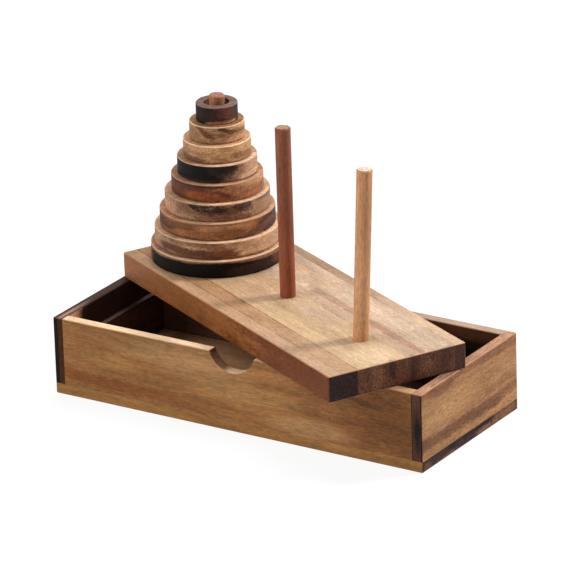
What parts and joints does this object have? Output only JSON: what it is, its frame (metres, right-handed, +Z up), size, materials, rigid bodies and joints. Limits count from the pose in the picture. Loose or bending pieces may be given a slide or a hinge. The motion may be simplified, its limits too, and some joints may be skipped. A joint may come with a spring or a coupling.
{
  "type": "tower of hanoi puzzle",
  "caption": "Wooden Tower of Hanoi puzzle: a lidded box whose board carries pull-out pegs and a stack of graduated lift-off rings.",
  "frame": {"origin": "middle of the box's underside", "axes": "+X along the box's long side, -Y out of the front with the finger notch, +Z up along the box's walls"},
  "size_m": [0.3019, 0.224, 0.2006],
  "materials": {
    "bottom_panel": "satin",
    "front_wall": "satin",
    "back_wall": "satin",
    "left_end_wall": "satin",
    "right_end_wall": "satin",
    "left_ledge": "satin",
    "right_ledge": "satin",
    "board_stave_1": "satin",
    "board_stave_2": "satin",
    "board_stave_3": "satin",
    "board_stave_4": "satin",
    "peg_left": "satin",
    "peg_middle": "satin",
    "peg_right": "satin",
    "ring_1": "satin",
    "ring_2": "satin",
    "ring_3": "satin",
    "ring_4": "satin",
    "ring_5": "satin",
    "ring_6": "satin",
    "ring_7": "satin",
    "ring_8": "satin",
    "ring_9": "satin"
  },
  "bodies": {
    "box": {"bottom_panel": "bottom_panel", "front_wall": "front_wall", "back_wall": "back_wall", "left_end_wall": "left_end_wall", "right_end_wall": "right_end_wall", "left_ledge": "left_ledge", "right_ledge": "right_ledge"},
    "board": {"board_stave_1": "board_stave_1", "board_stave_2": "board_stave_2", "board_stave_3": "board_stave_3", "board_stave_4": "board_stave_4"},
    "peg_left": {"peg_left": "peg_left"},
    "peg_middle": {"peg_middle": "peg_middle"},
    "peg_right": {"peg_right": "peg_right"},
    "ring_1": {"ring_1": "ring_1"},
    "ring_2": {"ring_2": "ring_2"},
    "ring_3": {"ring_3": "ring_3"},
    "ring_4": {"ring_4": "ring_4"},
    "ring_5": {"ring_5": "ring_5"},
    "ring_6": {"ring_6": "ring_6"},
    "ring_7": {"ring_7": "ring_7"},
    "ring_8": {"ring_8": "ring_8"},
    "ring_9": {"ring_9": "ring_9"}
  },
  "joints": [
    {"name": "board_lift", "type": "slide", "parent": "box", "child": "board", "axis": [0, 0, 1], "range_m": [0, 0.06]},
    {"name": "peg_left_pull", "type": "slide", "parent": "board", "child": "peg_left", "axis": [0.0139, 0.0272, 0.9995], "range_m": [0, 0.02]},
    {"name": "peg_middle_pull", "type": "slide", "parent": "board", "child": "peg_middle", "axis": [0, 0, 1], "range_m": [0, 0.02]},
    {"name": "peg_right_pull", "type": "slide", "parent": "board", "child": "peg_right", "axis": [0.0238, 0.0466, 0.9986], "range_m": [0, 0.02]},
    {"name": "ring_9_lift", "type": "slide", "parent": "board", "child": "ring_9", "axis": [0.0139, 0.0272, 0.9995], "range_m": [0, 0.1245]},
    {"name": "ring_8_lift", "type": "slide", "parent": "ring_9", "child": "ring_8", "axis": [0.0139, 0.0272, 0.9995], "range_m": [0, 0.1118]},
    {"name": "ring_7_lift", "type": "slide", "parent": "ring_8", "child": "ring_7", "axis": [0.0139, 0.0272, 0.9995], "range_m": [0, 0.0991]},
    {"name": "ring_6_lift", "type": "slide", "parent": "ring_7", "child": "ring_6", "axis": [0.0139, 0.0272, 0.9995], "range_m": [0, 0.0864]},
    {"name": "ring_5_lift", "type": "slide", "parent": "ring_6", "child": "ring_5", "axis": [0.0139, 0.0272, 0.9995], "range_m": [0, 0.0737]},
    {"name": "ring_4_lift", "type": "slide", "parent": "ring_5", "child": "ring_4", "axis": [0.0139, 0.0272, 0.9995], "range_m": [0, 0.061]},
    {"name": "ring_3_lift", "type": "slide", "parent": "ring_4", "child": "ring_3", "axis": [0.0139, 0.0272, 0.9995], "range_m": [0, 0.0483]},
    {"name": "ring_2_lift", "type": "slide", "parent": "ring_3", "child": "ring_2", "axis": [0.0139, 0.0272, 0.9995], "range_m": [0, 0.0356]},
    {"name": "ring_1_lift", "type": "slide", "parent": "ring_2", "child": "ring_1", "axis": [0.0139, 0.0272, 0.9995], "range_m": [0, 0.0229]}
  ]
}
